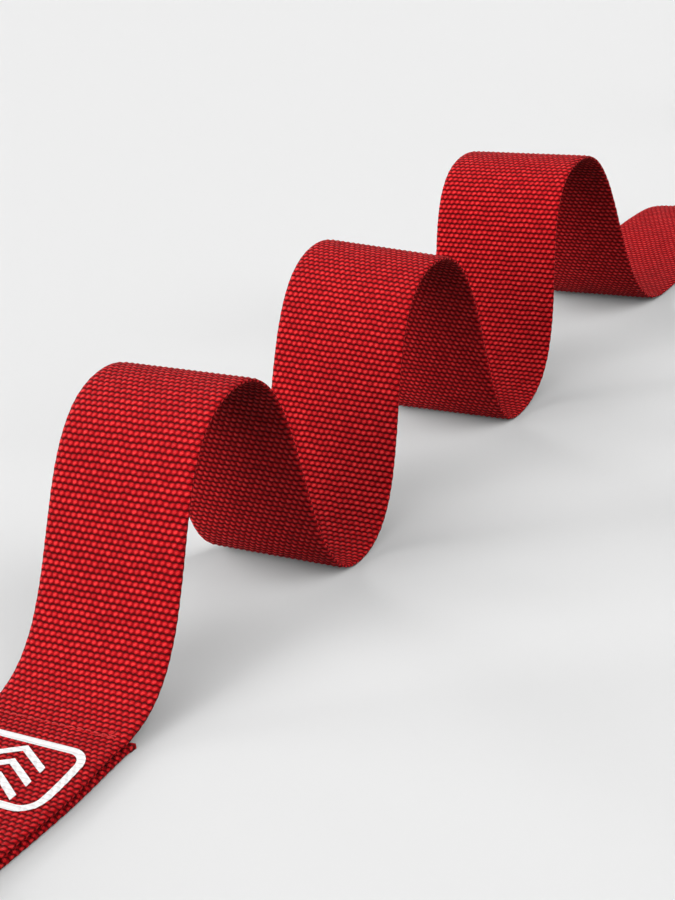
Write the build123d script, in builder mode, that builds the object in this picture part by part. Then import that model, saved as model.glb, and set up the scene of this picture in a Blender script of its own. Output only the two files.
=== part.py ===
from build123d import *
import math
import os

os.makedirs("parts", exist_ok=True)

# A gait belt lying in waves on a floor. +Z is up and the floor is z = 0. The origin is on the
# floor at the row of stitches across the doubled end, in the middle of the webbing. +X runs along
# the belt to its free end, and the buckle is on the -X side.

# Webbing
web_width = 50.8
web_thick = 1.6
ply_gap = 0.2
belt_length = 1372.0
bar_to_seam = 90.0
raw_end_past_seam = 3.0
top_ply_z = 2 * web_thick + ply_gap

# Bar in the webbing's fold
bar_radius = 2.0
fold_clear = 0.3
fold_inner = bar_radius + fold_clear
fold_outer = fold_inner + web_thick
bar_x = -bar_to_seam
bar_z = fold_outer

# Waves: distance along the run and height of the upper face at each turning point, then the
# radius of the middle line just before and just after it.
fold_bends = [
    (bar_x, bar_z + fold_outer, 0, 20),
    (bar_x + 24, top_ply_z, 20, 0),
]
tall_bends = [
    (0.5, top_ply_z, 0, 26),
    (71, 80, 32, 22),
    (116, web_thick, 18, 28),
    (192, 78, 35.5, 25),
    (238, web_thick, 15, 36),
    (307, 80, 28, 27),
    (373, web_thick, 27, 0),
]
low_bends = [
    (0, web_thick, 0, 70),
    (50, 11, 65, 50),
    (94, web_thick, 56, 0),
]
far_bends = [
    (40, web_thick, 0, 44),
    (110, 36, 41, 38),
    (178, web_thick, 42, 0),
]

# Gentle turns in the floor plane, where the webbing lies flat
turn_angle = 8.0
turn_radius = 230.0
flat_before_turn = 7.0
flat_after_low_wave = 30.0

# Stitches
thread_radius = 0.32
stitch_pitch = 2.9
stitch_count = 15
loop_seam_x = bar_x + 32.0
lower_thread_z = web_thick - 0.9

# Printed mark
mark_x = -26.5
mark_length = 30.0
mark_width = 42.0
mark_line = 2.6
mark_thick = 0.12

# Buckle frame
cheek_gap = web_width + 3.6
cheek_thick = 2.0
frame_width = cheek_gap + 2 * cheek_thick
base_thick = 2.0
base_rear_x = bar_x - fold_outer - 3.6
frame_front_x = -150.0
cheek_height = 15.0
pin_x = -113.0
pin_z = 11.0
pin_radius = 2.0
pin_clear = 0.05
pin_head_radius = 3.2
pin_head_thick = 1.2
guide_bar_z = 9.6

# Cam lever
lever_width = 48.6
hub_radius = 4.2
hub_width = 42.0
tooth_tip_gap = 0.3
tooth_tip_x = 3.4
tooth_pitch = 3.5
tooth_depth = 2.2
thumb_length = 26.0
thumb_slope = 11.0
thumb_thick = 1.8

# Springs on the cam pin
spring_wire = 0.9
spring_turns = 4
spring_inner = pin_radius + 0.35
spring_outer = spring_inner + spring_wire
spring_middle = spring_inner + spring_wire / 2
spring_pitch = spring_wire + 0.1
spring_leg_radius = spring_wire / 2 - 0.03
upper_leg_length = 14.0
lower_leg_slope = 38.0
lower_leg_length = 9.0

# Belt tip
tip_length = 22.0
tip_wall = 0.5
tip_side = 0.6
tip_lift = tip_wall + 0.1


def leg_shape(start, end):
    """Middle line of one leg of a wave: an arc, a line and an arc.

    Returns both arc centres, the angle that each arc turns through, and the sense of the leg,
    1 where it rises and -1 where it falls.
    """
    x0, z0, _, radius0 = start
    x1, z1, radius1, _ = end
    sense = math.copysign(1, z1 - z0)
    z0 -= web_thick / 2
    z1 -= web_thick / 2
    center0 = (x0, z0 + sense * radius0)
    center1 = (x1, z1 - sense * radius1)
    run = x1 - x0
    climb = abs(z1 - z0) - radius0 - radius1
    turn = math.atan2(climb, run) + math.asin((radius0 + radius1) / math.hypot(run, climb))
    return center0, center1, math.degrees(turn), sense


def wave_skin(bends, lift):
    """Draw a run of waves on the skin that lies `lift` above the webbing's middle line."""
    for start, end in zip(bends, bends[1:]):
        center0, center1, turn, sense = leg_shape(start, end)
        first = CenterArc(center0, start[3] - sense * lift, -90 * sense, turn * sense)
        last = CenterArc(center1, end[2] + sense * lift, (90 + turn) * sense, -turn * sense)
        Line(first @ 1, last @ 0)


def middle_length(bends):
    """Length of the webbing's middle line through a run of waves."""
    total = 0.0
    for start, end in zip(bends, bends[1:]):
        center0, center1, turn, _ = leg_shape(start, end)
        radii = start[3] + end[2]
        line = math.sqrt(math.dist(center0, center1) ** 2 - radii**2)
        total += math.radians(turn) * radii + line
    return total


def left_edge_plane(x, y, heading):
    """Upright plane at the webbing's left edge, with x along the heading and y up."""
    angle = math.radians(heading)
    middle = Plane(
        origin=(x, y, 0),
        x_dir=(math.cos(angle), math.sin(angle), 0),
        z_dir=(math.sin(angle), -math.cos(angle), 0),
    )
    return middle.offset(-web_width / 2)


def turn_outline(center, first_angle):
    """Draw the outline of a flat stretch of webbing that turns about a point on the floor."""
    inner = turn_radius - web_width / 2
    outer = turn_radius + web_width / 2
    near = CenterArc(center, inner, first_angle, turn_angle)
    far = CenterArc(center, outer, first_angle, turn_angle)
    Line(near @ 0, far @ 0)
    Line(near @ 1, far @ 1)


# ---- Route of the belt in the floor plane ----
first_run_end = tall_bends[-1][0] + flat_before_turn
turn_rad = math.radians(turn_angle)
turn_chord_x = turn_radius * math.sin(turn_rad)
turn_chord_y = turn_radius * (1 - math.cos(turn_rad))
low_start = (first_run_end + turn_chord_x, -turn_chord_y)
low_run = low_bends[-1][0] + flat_after_low_wave
low_end = (
    low_start[0] + low_run * math.cos(turn_rad),
    low_start[1] - low_run * math.sin(turn_rad),
)
far_start = (low_end[0] + turn_chord_x, low_end[1] - turn_chord_y)

# Length used up to the start of the last flat run, so that the whole belt has its true length
fold_arc = math.pi * (fold_inner + web_thick / 2)
used_length = (
    fold_arc / 2
    + bar_to_seam
    + middle_length(tall_bends)
    + flat_before_turn
    + 2 * turn_radius * turn_rad
    + middle_length(low_bends)
    + flat_after_low_wave
    + far_bends[0][0]
    + middle_length(far_bends)
)
last_flat = belt_length - used_length
far_run = far_bends[-1][0] + last_flat
tip_bends = [
    (far_run - tip_length - 16, web_thick, 0, 90),
    (far_run - tip_length, web_thick + tip_lift, 90, 0),
]


upper = web_thick / 2
lower = -web_thick / 2


# ---- Webbing ----
with BuildPart() as belt_webbing:
    # Fold round the bar, doubled end and the tall waves
    with BuildSketch(left_edge_plane(0, 0, 0)):
        with BuildLine():
            Polyline((bar_x, 0), (raw_end_past_seam, 0), (raw_end_past_seam, web_thick))
            Line((raw_end_past_seam, web_thick), (bar_x, web_thick))
            CenterArc((bar_x, bar_z), fold_outer, 90, 180)
            CenterArc((bar_x, bar_z), fold_inner, 90, 180)
            for lift in (upper, lower):
                skin_z = top_ply_z + lift - upper
                wave_skin(fold_bends, lift)
                Line((fold_bends[-1][0], skin_z), (tall_bends[0][0], skin_z))
                wave_skin(tall_bends, lift)
                Line((tall_bends[-1][0], upper + lift), (first_run_end, upper + lift))
            Line((first_run_end, 0), (first_run_end, web_thick))
        make_face()
    extrude(amount=web_width)

    # Turn to the right, the low wave, and the turn back
    with BuildSketch(Plane.XY):
        with BuildLine():
            turn_outline((first_run_end, -turn_radius), 90 - turn_angle)
        make_face()
    extrude(amount=web_thick)
    with BuildSketch(left_edge_plane(*low_start, -turn_angle)):
        with BuildLine():
            for lift in (upper, lower):
                wave_skin(low_bends, lift)
                Line((low_bends[-1][0], upper + lift), (low_run, upper + lift))
            Line((0, 0), (0, web_thick))
            Line((low_run, 0), (low_run, web_thick))
        make_face()
    extrude(amount=web_width)
    with BuildSketch(Plane.XY):
        with BuildLine():
            turn_outline((far_start[0], far_start[1] + turn_radius), 270 - turn_angle)
        make_face()
    extrude(amount=web_thick)

    # The far wave and the last flat run, which lifts a little into the metal tip
    with BuildSketch(left_edge_plane(*far_start, 0)):
        with BuildLine():
            for lift in (upper, lower):
                Line((0, upper + lift), (far_bends[0][0], upper + lift))
                wave_skin(far_bends, lift)
                Line((far_bends[-1][0], upper + lift), (tip_bends[0][0], upper + lift))
                wave_skin(tip_bends, lift)
                Line(
                    (tip_bends[-1][0], upper + lift + tip_lift),
                    (far_run, upper + lift + tip_lift),
                )
            Line((0, 0), (0, web_thick))
            Line((far_run, tip_lift), (far_run, web_thick + tip_lift))
        make_face()
    extrude(amount=web_width)
belt_webbing.part.label = "belt_webbing"
export_step(belt_webbing.part, "parts/belt_webbing.step")


# ---- Seams ----
def seam(x):
    """One row of lockstitches through both plies, with its lower thread sunk in the under ply."""
    row_length = stitch_count * stitch_pitch
    with BuildPart() as row:
        with BuildSketch(Plane.XZ.offset(-row_length / 2)):
            with Locations((x, top_ply_z), (x, lower_thread_z)):
                Circle(thread_radius)
        extrude(amount=row_length)
        with BuildSketch(Plane.XY.offset(lower_thread_z)):
            with Locations((x, 0)):
                with GridLocations(1, stitch_pitch, 1, stitch_count):
                    Circle(0.7 * thread_radius)
        extrude(amount=top_ply_z - lower_thread_z)
    return row


end_seam = seam(0)
end_seam.part.label = "end_seam"
export_step(end_seam.part, "parts/end_seam.step")

loop_seam = seam(loop_seam_x)
loop_seam.part.label = "loop_seam"
export_step(loop_seam.part, "parts/loop_seam.step")


# ---- Printed mark: a rounded frame with three chevrons ----
with BuildPart() as printed_mark:
    with BuildSketch(Plane.XY.offset(top_ply_z).move(Location((mark_x, 0, 0)))):
        RectangleRounded(mark_length, mark_width, 7)
        RectangleRounded(
            mark_length - 2 * mark_line, mark_width - 2 * mark_line, 4.6, mode=Mode.SUBTRACT
        )
        for chevron_x in (-6.5, 0, 6.5):
            with BuildLine():
                Polyline(
                    (chevron_x - 3.5 - mark_line / 2, -11),
                    (chevron_x + 3.5 - mark_line / 2, 0),
                    (chevron_x - 3.5 - mark_line / 2, 11),
                    (chevron_x - 3.5 + mark_line / 2, 11),
                    (chevron_x + 3.5 + mark_line / 2, 0),
                    (chevron_x - 3.5 + mark_line / 2, -11),
                    close=True,
                )
            make_face()
    extrude(amount=mark_thick)
printed_mark.part.label = "printed_mark"
export_step(printed_mark.part, "parts/printed_mark.step")


# ---- Metal tip on the free end ----
tip_outer_z = web_thick + 2 * tip_wall
with BuildPart() as belt_tip:
    with BuildSketch(Plane.XY.offset(tip_lift - tip_wall)):
        with Locations((far_start[0] + far_run - tip_length / 2 + tip_wall / 2, far_start[1])):
            Rectangle(tip_length + tip_wall, web_width + 2 * tip_side)
    extrude(amount=tip_outer_z)
    fillet(
        belt_tip.edges().filter_by(Axis.Z).group_by(Axis.X)[-1],
        radius=5,
    )
    with BuildSketch(Plane.XY.offset(tip_lift)):
        with Locations((far_start[0] + far_run - tip_length / 2, far_start[1])):
            Rectangle(tip_length, web_width)
    extrude(amount=web_thick, mode=Mode.SUBTRACT)
belt_tip.part.label = "belt_tip"
export_step(belt_tip.part, "parts/belt_tip.step")


# ---- Buckle frame ----
with BuildPart() as buckle_frame:
    # Base plate under the cam
    with BuildSketch(Plane.XY):
        with Locations(((base_rear_x + frame_front_x) / 2, 0)):
            Rectangle(base_rear_x - frame_front_x, frame_width)
    extrude(amount=base_thick)
    # Cheeks, from the guide bar back past the anchor bar
    for side in (-1, 1):
        inner_y = side * cheek_gap / 2
        with BuildSketch(Plane.XZ.offset(-inner_y)):
            with BuildLine():
                Polyline(
                    (frame_front_x, 0),
                    (bar_x, 0),
                    (bar_x + 4.5, 0),
                    (bar_x + 4.5, bar_z + 3.0),
                    (bar_x - 6, bar_z + 6.5),
                    (pin_x + 7.5, cheek_height),
                    (pin_x - 7.5, cheek_height),
                    (frame_front_x + 9, guide_bar_z + 3),
                    (frame_front_x, guide_bar_z + 3),
                    close=True,
                )
            make_face()
        extrude(amount=-side * cheek_thick)
    rear_corners = (
        buckle_frame.edges().filter_by(Axis.Y).filter_by_position(Axis.Z, 3, cheek_height)
    )
    fillet(rear_corners, radius=2.5)
    # Guide bar across the front, over the window that the webbing enters by
    with BuildSketch(Plane.XZ.offset(-cheek_gap / 2 - 0.4)):
        with Locations((frame_front_x + 4, guide_bar_z)):
            RectangleRounded(6, 4, 1.6)
    extrude(amount=cheek_gap + 0.8)
    # Grip ribs on the base, under the teeth
    for rib in range(3):
        with BuildSketch(Plane.XZ.offset(-lever_width / 2)):
            with Locations((pin_x - 6 - 4 * rib, base_thick)):
                Circle(0.6)
        extrude(amount=lever_width)
    # Bores for the anchor bar and the cam pin
    for bore_x, bore_z, bore_radius in (
        (bar_x, bar_z, bar_radius),
        (pin_x, pin_z, pin_radius),
    ):
        with BuildSketch(Plane.XZ.offset(-frame_width / 2)):
            with Locations((bore_x, bore_z)):
                Circle(bore_radius)
        extrude(amount=frame_width, mode=Mode.SUBTRACT)
    # Soft lower edges where the frame lies on the floor
    lower_rim = buckle_frame.faces().sort_by(Axis.Z)[0].edges().filter_by(Axis.X)
    fillet(lower_rim.sort_by(Axis.Y)[0], radius=1.2)
    lower_rim = buckle_frame.faces().sort_by(Axis.Z)[0].edges().filter_by(Axis.X)
    fillet(lower_rim.sort_by(Axis.Y)[-1], radius=1.2)
buckle_frame.part.label = "buckle_frame"
export_step(buckle_frame.part, "parts/buckle_frame.step")


# ---- Anchor bar and cam pin, each with two formed heads ----
def headed_pin(x, z, radius):
    """Round pin across the frame, with a domed head outside each cheek."""
    with BuildPart() as pin:
        with BuildSketch(Plane.XZ.offset(-frame_width / 2)):
            with Locations((x, z)):
                Circle(radius)
        extrude(amount=frame_width)
        for side in (-1, 1):
            with BuildSketch(Plane.XZ.offset(-side * frame_width / 2)):
                with Locations((x, z)):
                    Circle(pin_head_radius)
            extrude(amount=-side * pin_head_thick)
        fillet(pin.faces().sort_by(Axis.Y)[0].edges(), radius=0.7)
        fillet(pin.faces().sort_by(Axis.Y)[-1].edges(), radius=0.7)
    return pin


anchor_bar = headed_pin(bar_x, bar_z, bar_radius)
anchor_bar.part.label = "anchor_bar"
export_step(anchor_bar.part, "parts/anchor_bar.step")

cam_pin = headed_pin(pin_x, pin_z, pin_radius)
cam_pin.part.label = "cam_pin"
export_step(cam_pin.part, "parts/cam_pin.step")


# ---- Cam lever: hub, toothed jaw below it, thumb plate in front of it ----
tooth_tip = (pin_x + tooth_tip_x, base_thick + tooth_tip_gap)


def lever_point(along, above):
    """Point in the XZ plane, measured from the pin along and above the thumb plate's slope."""
    slope = math.radians(thumb_slope)
    return (
        pin_x - along * math.cos(slope) + above * math.sin(slope),
        pin_z + along * math.sin(slope) + above * math.cos(slope),
    )


with BuildPart() as cam_lever:
    with BuildSketch(Plane.XZ.offset(-lever_width / 2)):
        with BuildLine():
            Polyline(
                (pin_x - 2.6, pin_z - 3.0),
                (tooth_tip[0] - 0.4, tooth_tip[1]),
                (tooth_tip[0] + 0.6, tooth_tip[1] + 0.3),
                (pin_x + 4.6, pin_z),
                (pin_x, pin_z),
                close=True,
            )
        make_face()
    extrude(amount=lever_width)
    with BuildSketch(Plane.XZ.offset(-lever_width / 2)):
        with BuildLine():
            Polyline(
                lever_point(-1.5, spring_outer + 0.05),
                lever_point(-0.5, spring_outer + 0.05 + thumb_thick),
                lever_point(thumb_length, spring_outer + 0.05 + thumb_thick),
                lever_point(thumb_length, spring_outer + 0.05),
                close=True,
            )
        make_face()
    extrude(amount=lever_width)
    # Rounded corners at the front of the thumb plate
    front_face = cam_lever.faces().sort_by(Axis.X)[0]
    fillet(front_face.edges().filter_by(Axis.Y, reverse=True), radius=6)
    # Room for the springs at both ends of the hub
    for side in (-1, 1):
        with BuildSketch(Plane.XZ.offset(-side * hub_width / 2)):
            with Locations((pin_x, pin_z)):
                Circle(spring_outer + 0.04)
        extrude(amount=-side * web_width, mode=Mode.SUBTRACT)
    with BuildSketch(Plane.XZ.offset(-hub_width / 2)):
        with Locations((pin_x, pin_z)):
            Circle(hub_radius)
    extrude(amount=hub_width)
    # Teeth: notches cut up into the jaw
    tooth_count = int(lever_width / tooth_pitch)
    for notch in range(1, tooth_count):
        notch_y = (notch - tooth_count / 2) * tooth_pitch
        with BuildSketch(Plane.YZ.offset(pin_x - 6)):
            with BuildLine():
                Polyline(
                    (notch_y - 1.2, tooth_tip[1] - 0.5),
                    (notch_y + 1.2, tooth_tip[1] - 0.5),
                    (notch_y, tooth_tip[1] + tooth_depth),
                    close=True,
                )
            make_face()
        extrude(amount=14, mode=Mode.SUBTRACT)
    with BuildSketch(Plane.XZ.offset(-lever_width / 2)):
        with Locations((pin_x, pin_z)):
            Circle(pin_radius + pin_clear)
    extrude(amount=lever_width, mode=Mode.SUBTRACT)
cam_lever.part.label = "cam_lever"
export_step(cam_lever.part, "parts/cam_lever.step")


# ---- Torsion springs at the two ends of the hub ----
def cam_spring(side):
    """Closed coils on the pin, a leg under the thumb plate and a leg down to the base."""
    inner_y = hub_width / 2 + 0.35
    coil_length = spring_turns * spring_pitch
    upper_y = side * (inner_y + spring_wire / 2)
    lower_y = side * (inner_y + coil_length - spring_wire / 2)
    up = math.radians(thumb_slope)
    down = math.radians(lower_leg_slope)
    upper_x, upper_z = lever_point(0, spring_middle)
    with BuildPart() as spring:
        with BuildSketch(Plane.XZ.offset(-side * inner_y)):
            with Locations((pin_x, pin_z)):
                Circle(spring_outer)
                Circle(spring_inner, mode=Mode.SUBTRACT)
        extrude(amount=-side * coil_length)
        with BuildSketch(Plane((upper_x, upper_y, upper_z), z_dir=(-math.cos(up), 0, math.sin(up)))):
            Circle(spring_leg_radius)
        extrude(amount=upper_leg_length)
        lower_start = (
            pin_x - spring_middle * math.sin(down),
            lower_y,
            pin_z - spring_middle * math.cos(down),
        )
        with BuildSketch(Plane(lower_start, z_dir=(math.cos(down), 0, -math.sin(down)))):
            Circle(spring_leg_radius)
        extrude(amount=lower_leg_length)
    return spring


cam_spring_left = cam_spring(1)
cam_spring_left.part.label = "cam_spring_left"
export_step(cam_spring_left.part, "parts/cam_spring_left.step")

cam_spring_right = cam_spring(-1)
cam_spring_right.part.label = "cam_spring_right"
export_step(cam_spring_right.part, "parts/cam_spring_right.step")

print("last flat run", round(last_flat, 1), "belt tip at x", round(far_start[0] + far_run, 1))
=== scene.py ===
"""A gait belt lying in waves on a pale floor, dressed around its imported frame.

The webbing is woven flat, with its relief, and then laid along its route: under ply, fold round the
buckle's bar, doubled end, three tall waves, a low wave, a middling wave and the metal tip. Lengths
in the classes are millimetres, and meshes are made in metres.
"""

import logging
import math
import random
from bisect import bisect_right
from dataclasses import dataclass, field
from enum import Enum

import bmesh
import bpy
from mathutils import Matrix, Vector

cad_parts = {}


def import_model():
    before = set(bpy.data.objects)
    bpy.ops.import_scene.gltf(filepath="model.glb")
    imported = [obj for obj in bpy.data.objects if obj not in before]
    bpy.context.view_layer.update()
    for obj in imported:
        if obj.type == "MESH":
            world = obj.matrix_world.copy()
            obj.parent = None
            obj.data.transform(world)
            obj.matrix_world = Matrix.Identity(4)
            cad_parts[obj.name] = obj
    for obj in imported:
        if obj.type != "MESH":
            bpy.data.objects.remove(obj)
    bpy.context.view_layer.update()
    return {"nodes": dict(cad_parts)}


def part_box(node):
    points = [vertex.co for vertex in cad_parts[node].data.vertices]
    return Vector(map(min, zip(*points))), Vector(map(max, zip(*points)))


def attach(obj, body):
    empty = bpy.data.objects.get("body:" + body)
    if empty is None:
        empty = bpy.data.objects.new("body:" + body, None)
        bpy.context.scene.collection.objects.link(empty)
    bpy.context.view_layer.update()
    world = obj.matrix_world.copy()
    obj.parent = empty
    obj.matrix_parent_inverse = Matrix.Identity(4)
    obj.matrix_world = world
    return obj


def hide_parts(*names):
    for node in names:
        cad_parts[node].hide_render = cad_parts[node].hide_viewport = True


MM = 0.001
LOG = logging.getLogger("gait_belt")
Colour = tuple[float, float, float]
Triple = tuple[float, float, float]
Pair = tuple[float, float]
# Two ends of an edge count as level below this height, in metres
LEVEL = 1e-5


# ---- Small helpers for meshes ----


def mesh_object(name: str, bm: bmesh.types.BMesh, smooth: bool = True) -> bpy.types.Object:
    """Turns a finished bmesh into an object at the origin.

    Args:
        name: the piece's name.
        bm: the bmesh, which is freed.
        smooth: whether its faces are shaded smooth.

    Returns:
        The new object, linked to the scene.
    """
    for face in bm.faces:
        face.smooth = smooth
    mesh = bpy.data.meshes.new(name)
    bm.to_mesh(mesh)
    bm.free()
    piece = bpy.data.objects.new(name, mesh)
    bpy.context.scene.collection.objects.link(piece)
    return piece


def verts_of(made: dict) -> list[bmesh.types.BMVert]:
    """The vertices that a bmesh operator says it made."""
    items = made.get("geom", made.get("verts", []))
    return [item for item in items if isinstance(item, bmesh.types.BMVert)]


def sweep(bm: bmesh.types.BMesh, path: list[Vector], radius: float, sides: int) -> None:
    """Runs a ring along a path and closes both of its ends.

    Args:
        bm: the bmesh that gets the tube.
        path: the points of its middle line, in metres.
        radius: the tube's radius in metres.
        sides: the number of sides of the ring.
    """
    ahead = [(b - a).normalized() for a, b in zip(path, path[1:])]
    along = [ahead[0]] + [(a + b).normalized() for a, b in zip(ahead, ahead[1:])] + [ahead[-1]]
    turn = Vector((0, 0, 1)).rotation_difference(along[0]).to_matrix().to_4x4()
    start = Matrix.Translation(path[0]) @ turn
    ring = bmesh.ops.create_circle(bm, segments=sides, radius=radius, matrix=start)["verts"]
    edges = list({edge for vert in ring for edge in vert.link_edges})
    bmesh.ops.contextual_create(bm, geom=edges)
    for step in range(1, len(path)):
        made = bmesh.ops.extrude_edge_only(bm, edges=edges)
        ring = verts_of(made)
        edges = [item for item in made["geom"] if isinstance(item, bmesh.types.BMEdge)]
        bend = along[step - 1].rotation_difference(along[step]).to_matrix()
        bmesh.ops.rotate(bm, verts=ring, cent=path[step - 1], matrix=bend)
        bmesh.ops.translate(bm, verts=ring, vec=path[step] - path[step - 1])
    bmesh.ops.contextual_create(bm, geom=edges)


def cut(bm: bmesh.types.BMesh, place: Triple, normal: Triple) -> None:
    """Cuts every face of a bmesh along a plane, given by a place on it and its normal."""
    everything = bm.verts[:] + bm.edges[:] + bm.faces[:]
    bmesh.ops.bisect_plane(bm, geom=everything, plane_co=place, plane_no=normal)


# ---- Small helpers for materials ----


class Shader:
    """Places and links the nodes of one node tree."""

    def __init__(self, tree: bpy.types.NodeTree) -> None:
        """Keeps the tree that the nodes go into."""
        self.tree = tree

    def node(self, kind: str, inputs: dict | None = None, **settings: object) -> bpy.types.Node:
        """Adds a node.

        Args:
            kind: the node's type without its ShaderNode prefix.
            inputs: values or sockets for its inputs, by name or number.
            settings: the node's own properties.

        Returns:
            The new node.
        """
        made = self.tree.nodes.new(kind if kind.startswith("Node") else "ShaderNode" + kind)
        for key, value in settings.items():
            setattr(made, key, value)
        for key, value in (inputs or {}).items():
            self.feed(made.inputs[key], value)
        return made

    def feed(self, socket: bpy.types.NodeSocket, value: object) -> None:
        """Links a socket to another one, or sets its value."""
        if isinstance(value, bpy.types.NodeSocket):
            self.tree.links.new(value, socket)
        elif isinstance(value, tuple) and len(value) == 3 and socket.type == "RGBA":
            socket.default_value = (*value, 1.0)
        else:
            socket.default_value = value

    def math(self, operation: str, *values: object, clamp: bool = False) -> bpy.types.NodeSocket:
        """Adds a Math node and returns its output."""
        made = self.node("Math", dict(enumerate(values)), operation=operation, use_clamp=clamp)
        return made.outputs[0]

    def mix(
        self, share: object, first: object, second: object, blend: str = "MIX"
    ) -> bpy.types.NodeSocket:
        """Mixes two colours and returns the result."""
        made = self.node("Mix", data_type="RGBA", blend_type=blend)
        self.feed(made.inputs[0], share)
        self.feed(made.inputs[6], first)
        self.feed(made.inputs[7], second)
        return made.outputs[2]

    def ramp(
        self, value: object, low: float, high: float, to_low: float = 0.0, to_high: float = 1.0
    ) -> bpy.types.NodeSocket:
        """Maps a value's span smoothly onto another span."""
        made = self.node("MapRange", {0: value, 1: low, 2: high, 3: to_low, 4: to_high})
        made.interpolation_type = "SMOOTHSTEP"
        return made.outputs[0]

    def noise(
        self, vector: object, scale: float, detail: float = 2.0, rough: float = 0.5
    ) -> bpy.types.NodeSocket:
        """Adds a noise texture and returns its value."""
        inputs = {"Vector": vector, "Scale": scale, "Detail": detail, "Roughness": rough}
        return self.node("TexNoise", inputs).outputs[0]


def new_group(
    name: str, takes: dict[str, str], gives: dict[str, str]
) -> tuple[Shader, bpy.types.Node, bpy.types.Node]:
    """Makes an empty shader node group.

    Args:
        name: the group's name.
        takes: its input names with their socket kinds.
        gives: its output names with their socket kinds.

    Returns:
        The group's shader, its input node and its output node.
    """
    tree = bpy.data.node_groups.new(name, "ShaderNodeTree")
    for way, sockets in (("INPUT", takes), ("OUTPUT", gives)):
        for label, kind in sockets.items():
            tree.interface.new_socket(label, in_out=way, socket_type="NodeSocket" + kind)
    shader = Shader(tree)
    return shader, shader.node("NodeGroupInput"), shader.node("NodeGroupOutput")


def new_material(name: str) -> tuple[bpy.types.Material, Shader, bpy.types.Node]:
    """Makes a material, and gives it with its shader and its surface node."""
    made = bpy.data.materials.new(name)
    made.use_nodes = True
    return made, Shader(made.node_tree), made.node_tree.nodes["Principled BSDF"]


@dataclass(frozen=True)
class Crown:
    """Shape of the yarn where it comes up, with distances counted in rows and in crowns."""

    long_by_row: float = 0.73
    long_by_crown: float = 1.70
    wide_by_row: float = 1.94
    wide_by_crown: float = 1.17
    ridge: float = 0.55
    blend: float = 0.15
    drift_scale: float = 0.21
    ply_by_row: float = 17.0
    ply_by_crown: float = 15.0
    ply_height: float = 0.07
    fuzz_scale: float = 6.5
    fuzz_height: float = 0.34
    lowest: float = 0.87
    uneven: float = 0.15


def weave_group(shape: Crown) -> bpy.types.NodeTree:
    """Plain weave in pattern units: one row per unit of U, and one column per unit of V.

    Args:
        shape: the shape of its crowns.

    Returns:
        A group that takes the pattern's coordinates, and gives the height of the yarn, a tone for
        each crown and the gaps between crowns.
    """
    shader, source, sink = new_group(
        "plain_weave",
        {"Pattern": "Vector", "Waver": "Float"},
        {"Height": "Float", "Crown": "Float", "Tone": "Float"},
    )
    pattern = source.outputs["Pattern"]
    drift = shader.node("TexNoise", {"Vector": pattern, "Scale": shape.drift_scale, "Detail": 2.0}).outputs[1]
    drift = shader.node("VectorMath", {0: drift, 1: (0.5, 0.5, 0.5)}, operation="SUBTRACT").outputs[0]
    push = shader.node("VectorMath", {0: drift, "Scale": source.outputs["Waver"]}, operation="SCALE")
    moved = shader.node("VectorMath", {0: pattern, 1: push.outputs[0]}, operation="ADD").outputs[0]
    parts = shader.node("SeparateXYZ", {0: moved})
    row = shader.math("ROUND", parts.outputs[0])
    over_row = shader.math("SUBTRACT", parts.outputs[0], row)
    half = shader.math("MULTIPLY", shader.math("SUBTRACT", parts.outputs[1], row), 0.5)
    crown_number = shader.math("ROUND", half)
    over_crown = shader.math("SUBTRACT", half, crown_number)
    # Each crown is an oval dome that leans across its row, with low pits round its ends that the webbing paints
    # with shade
    lengthways = shader.math(
        "SUBTRACT",
        shader.math("MULTIPLY", over_row, shape.long_by_row),
        shader.math("MULTIPLY", over_crown, shape.long_by_crown),
    )
    sideways = shader.math(
        "ADD",
        shader.math("MULTIPLY", over_row, shape.wide_by_row),
        shader.math("MULTIPLY", over_crown, shape.wide_by_crown),
    )
    along_squared = shader.math("MULTIPLY", lengthways, lengthways)
    across_squared = shader.math("MULTIPLY", sideways, sideways)
    below = shader.math("SUBTRACT", 1.0, shader.math("ADD", along_squared, across_squared), clamp=True)
    dome = shader.math("SQRT", below)
    # The row's own ridge joins its crowns, lower than they are
    off_ridge = shader.math("MULTIPLY", over_row, 2.0)
    ridge_fall = shader.math("MULTIPLY", shader.math("MULTIPLY", off_ridge, off_ridge), shape.ridge)
    ridge = shader.math("SUBTRACT", shape.ridge, ridge_fall)
    crown = shader.math("SMOOTH_MAX", dome, ridge, shape.blend)
    label = shader.node("CombineXYZ", {0: row, 1: crown_number})
    dice = shader.node("TexWhiteNoise", {"Vector": label.outputs[0]}, noise_dimensions="2D").outputs[0]
    # Plies twisted round each other, seen as slanting lines on every crown
    slant = shader.math(
        "ADD",
        shader.math("MULTIPLY", over_row, shape.ply_by_row),
        shader.math("MULTIPLY", over_crown, shape.ply_by_crown),
    )
    plies = shader.math("MULTIPLY", shader.math("SINE", slant), shape.ply_height)
    speckle = shader.math("SUBTRACT", shader.noise(moved, shape.fuzz_scale, 3.0, 0.6), 0.5)
    fuzz = shader.math("MULTIPLY", speckle, shape.fuzz_height)
    uneven = shader.math("MULTIPLY_ADD", dice, shape.uneven, shape.lowest)
    height = shader.math("MULTIPLY", crown, uneven)
    detail = shader.math("MULTIPLY", crown, shader.math("ADD", plies, fuzz))
    shader.feed(sink.inputs["Height"], shader.math("ADD", height, detail))
    shader.feed(sink.inputs["Crown"], crown)
    shader.feed(sink.inputs["Tone"], dice)
    return shader.tree


SCRATCH_ANGLES = (0.35, 1.25, 2.3)
SCRATCH_STRETCH = (160.0, 3600.0, 900.0)


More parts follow.
